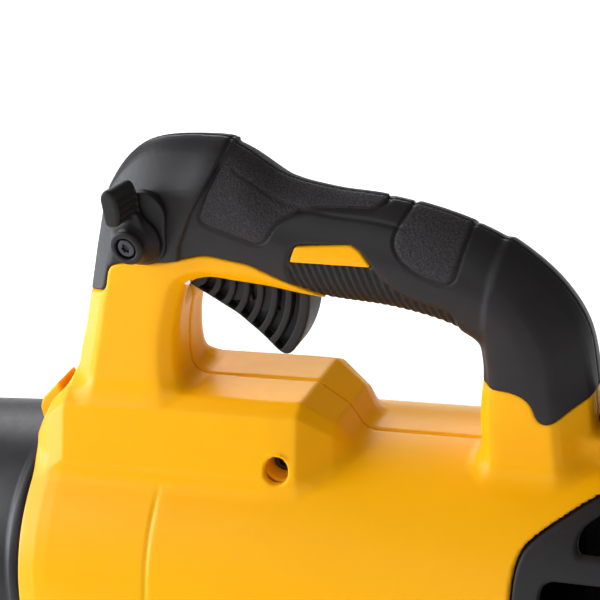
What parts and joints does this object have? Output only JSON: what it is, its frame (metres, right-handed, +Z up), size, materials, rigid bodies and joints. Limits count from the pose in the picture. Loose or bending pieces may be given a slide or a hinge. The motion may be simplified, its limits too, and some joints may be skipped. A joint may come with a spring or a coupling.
{
  "type": "cordless axial leaf blower",
  "caption": "Hand-held cordless axial leaf blower with a looped top handle, trigger, speed lock lever, air tube, nozzle tip and slide-on battery pack.",
  "frame": {"origin": "middle of the front foot's sole, on the floor that the blower stands on", "axes": "+X back along the barrel axis towards the battery, +Y to the tool's right as its user holds it, +Z up"},
  "size_m": [0.9037, 0.148, 0.3202],
  "materials": {
    "yellow_plastic": "satin moulded",
    "black_grip": "soft-touch moulded, finely textured",
    "black_plastic": "fine moulded grain",
    "tube_plastic": "satin moulded",
    "bright_steel": "ground",
    "dark_steel": "black oxide",
    "copper_winding": "enamelled wire",
    "cast_aluminium": "as cast",
    "circuit_board": "solder mask",
    "rubber": "matt",
    "cell_wrap": "shrink sleeve"
  },
  "bodies": {
    "root": {"battery_receiver": "black_plastic", "bearing_front": "bright_steel", "bearing_rear": "bright_steel", "controller_board": "circuit_board", "front_foot": "rubber", "grip_badge_left": "yellow_plastic", "grip_badge_right": "yellow_plastic", "grip_left": "black_grip", "grip_right": "black_grip", "heat_sink": "cast_aluminium", "housing_left": "yellow_plastic", "housing_right": "yellow_plastic", "housing_screw_1": "dark_steel", "housing_screw_2": "dark_steel", "housing_screw_3": "dark_steel", "housing_screw_4": "dark_steel", "intake_cover": "black_plastic", "latch_spring": "bright_steel", "lever_base": "black_plastic", "motor_can": "cast_aluminium", "motor_end_cap": "cast_aluminium", "receiver_screw_1": "dark_steel", "receiver_screw_2": "dark_steel", "spine_cap": "black_plastic", "stator": "dark_steel", "switch_module": "black_plastic", "tail_cone": "black_plastic", "terminal_block": "black_plastic", "trigger_pin": "bright_steel", "trigger_spring": "bright_steel", "vane_duct": "black_plastic", "winding_1": "copper_winding", "winding_2": "copper_winding", "winding_3": "copper_winding", "winding_4": "copper_winding", "winding_5": "copper_winding", "winding_6": "copper_winding", "wiring_harness": "rubber"},
    "trigger": {"trigger": "black_plastic"},
    "switch_plunger": {"switch_plunger": "black_plastic"},
    "speed_lever": {"speed_lever": "black_plastic", "lever_screw": "dark_steel", "speed_lock_cam": "black_plastic"},
    "fan_rotor": {"fan": "black_plastic", "fan_nut": "bright_steel", "motor_shaft": "bright_steel", "rotor_magnet": "dark_steel"},
    "tube_latch": {"tube_latch": "yellow_plastic"},
    "air_tube": {"air_tube": "tube_plastic"},
    "nozzle_tip": {"nozzle_tip": "tube_plastic"},
    "battery": {"battery_case_lower": "black_plastic", "battery_case_upper": "black_plastic", "cell_row_1": "cell_wrap", "cell_row_2": "cell_wrap", "battery_board": "circuit_board", "fuel_gauge_panel": "black_plastic"},
    "battery_release_button": {"battery_release_button": "yellow_plastic"},
    "fuel_gauge_button": {"fuel_gauge_button": "black_grip"}
  },
  "joints": [
    {"name": "trigger_pull", "type": "hinge", "parent": "root", "child": "trigger", "pos_m": [0.044, 0, 0.262], "axis": [0, -1, 0], "range_deg": [0, 16], "stiffness_Nm_per_rad": 0.25, "springref_deg": -11.46, "deforming": ["trigger_spring"]},
    {"name": "switch_press", "type": "slide", "parent": "root", "child": "switch_plunger", "axis": [0, 0, 1], "range_m": [0, 0.0095]},
    {"name": "speed_lever_turn", "type": "hinge", "parent": "root", "child": "speed_lever", "pos_m": [0.031, 0, 0.2845], "axis": [0, 1, 0], "range_deg": [0, 60]},
    {"name": "fan_spin", "type": "hinge", "parent": "root", "child": "fan_rotor", "pos_m": [0.086, 0, 0.114], "axis": [1, 0, 0], "continuous": true},
    {"name": "tube_latch_press", "type": "slide", "parent": "root", "child": "tube_latch", "axis": [0, 0, -1], "range_m": [0, 0.0025], "stiffness_N_per_m": 400, "springref_m": -0.003, "deforming": ["latch_spring"]},
    {"name": "tube_slide", "type": "slide", "parent": "root", "child": "air_tube", "axis": [-1, 0, 0], "range_m": [0, 0.12]},
    {"name": "nozzle_slide", "type": "slide", "parent": "air_tube", "child": "nozzle_tip", "axis": [-1, 0, 0], "range_m": [0, 0.06]},
    {"name": "battery_slide", "type": "slide", "parent": "root", "child": "battery", "axis": [1, 0, 0], "range_m": [0, 0.12]},
    {"name": "battery_release_press", "type": "slide", "parent": "battery", "child": "battery_release_button", "axis": [0, 0, -1], "range_m": [0, 0.0025], "stiffness_N_per_m": 400, "springref_m": -0.003},
    {"name": "fuel_gauge_press", "type": "slide", "parent": "battery", "child": "fuel_gauge_button", "axis": [-1, 0, 0], "range_m": [0, 0.001], "stiffness_N_per_m": 300, "springref_m": -0.001}
  ],
  "couplings": [
    {"joint": "switch_press", "follows": "trigger_pull", "m_per_rad": 0.03}
  ]
}
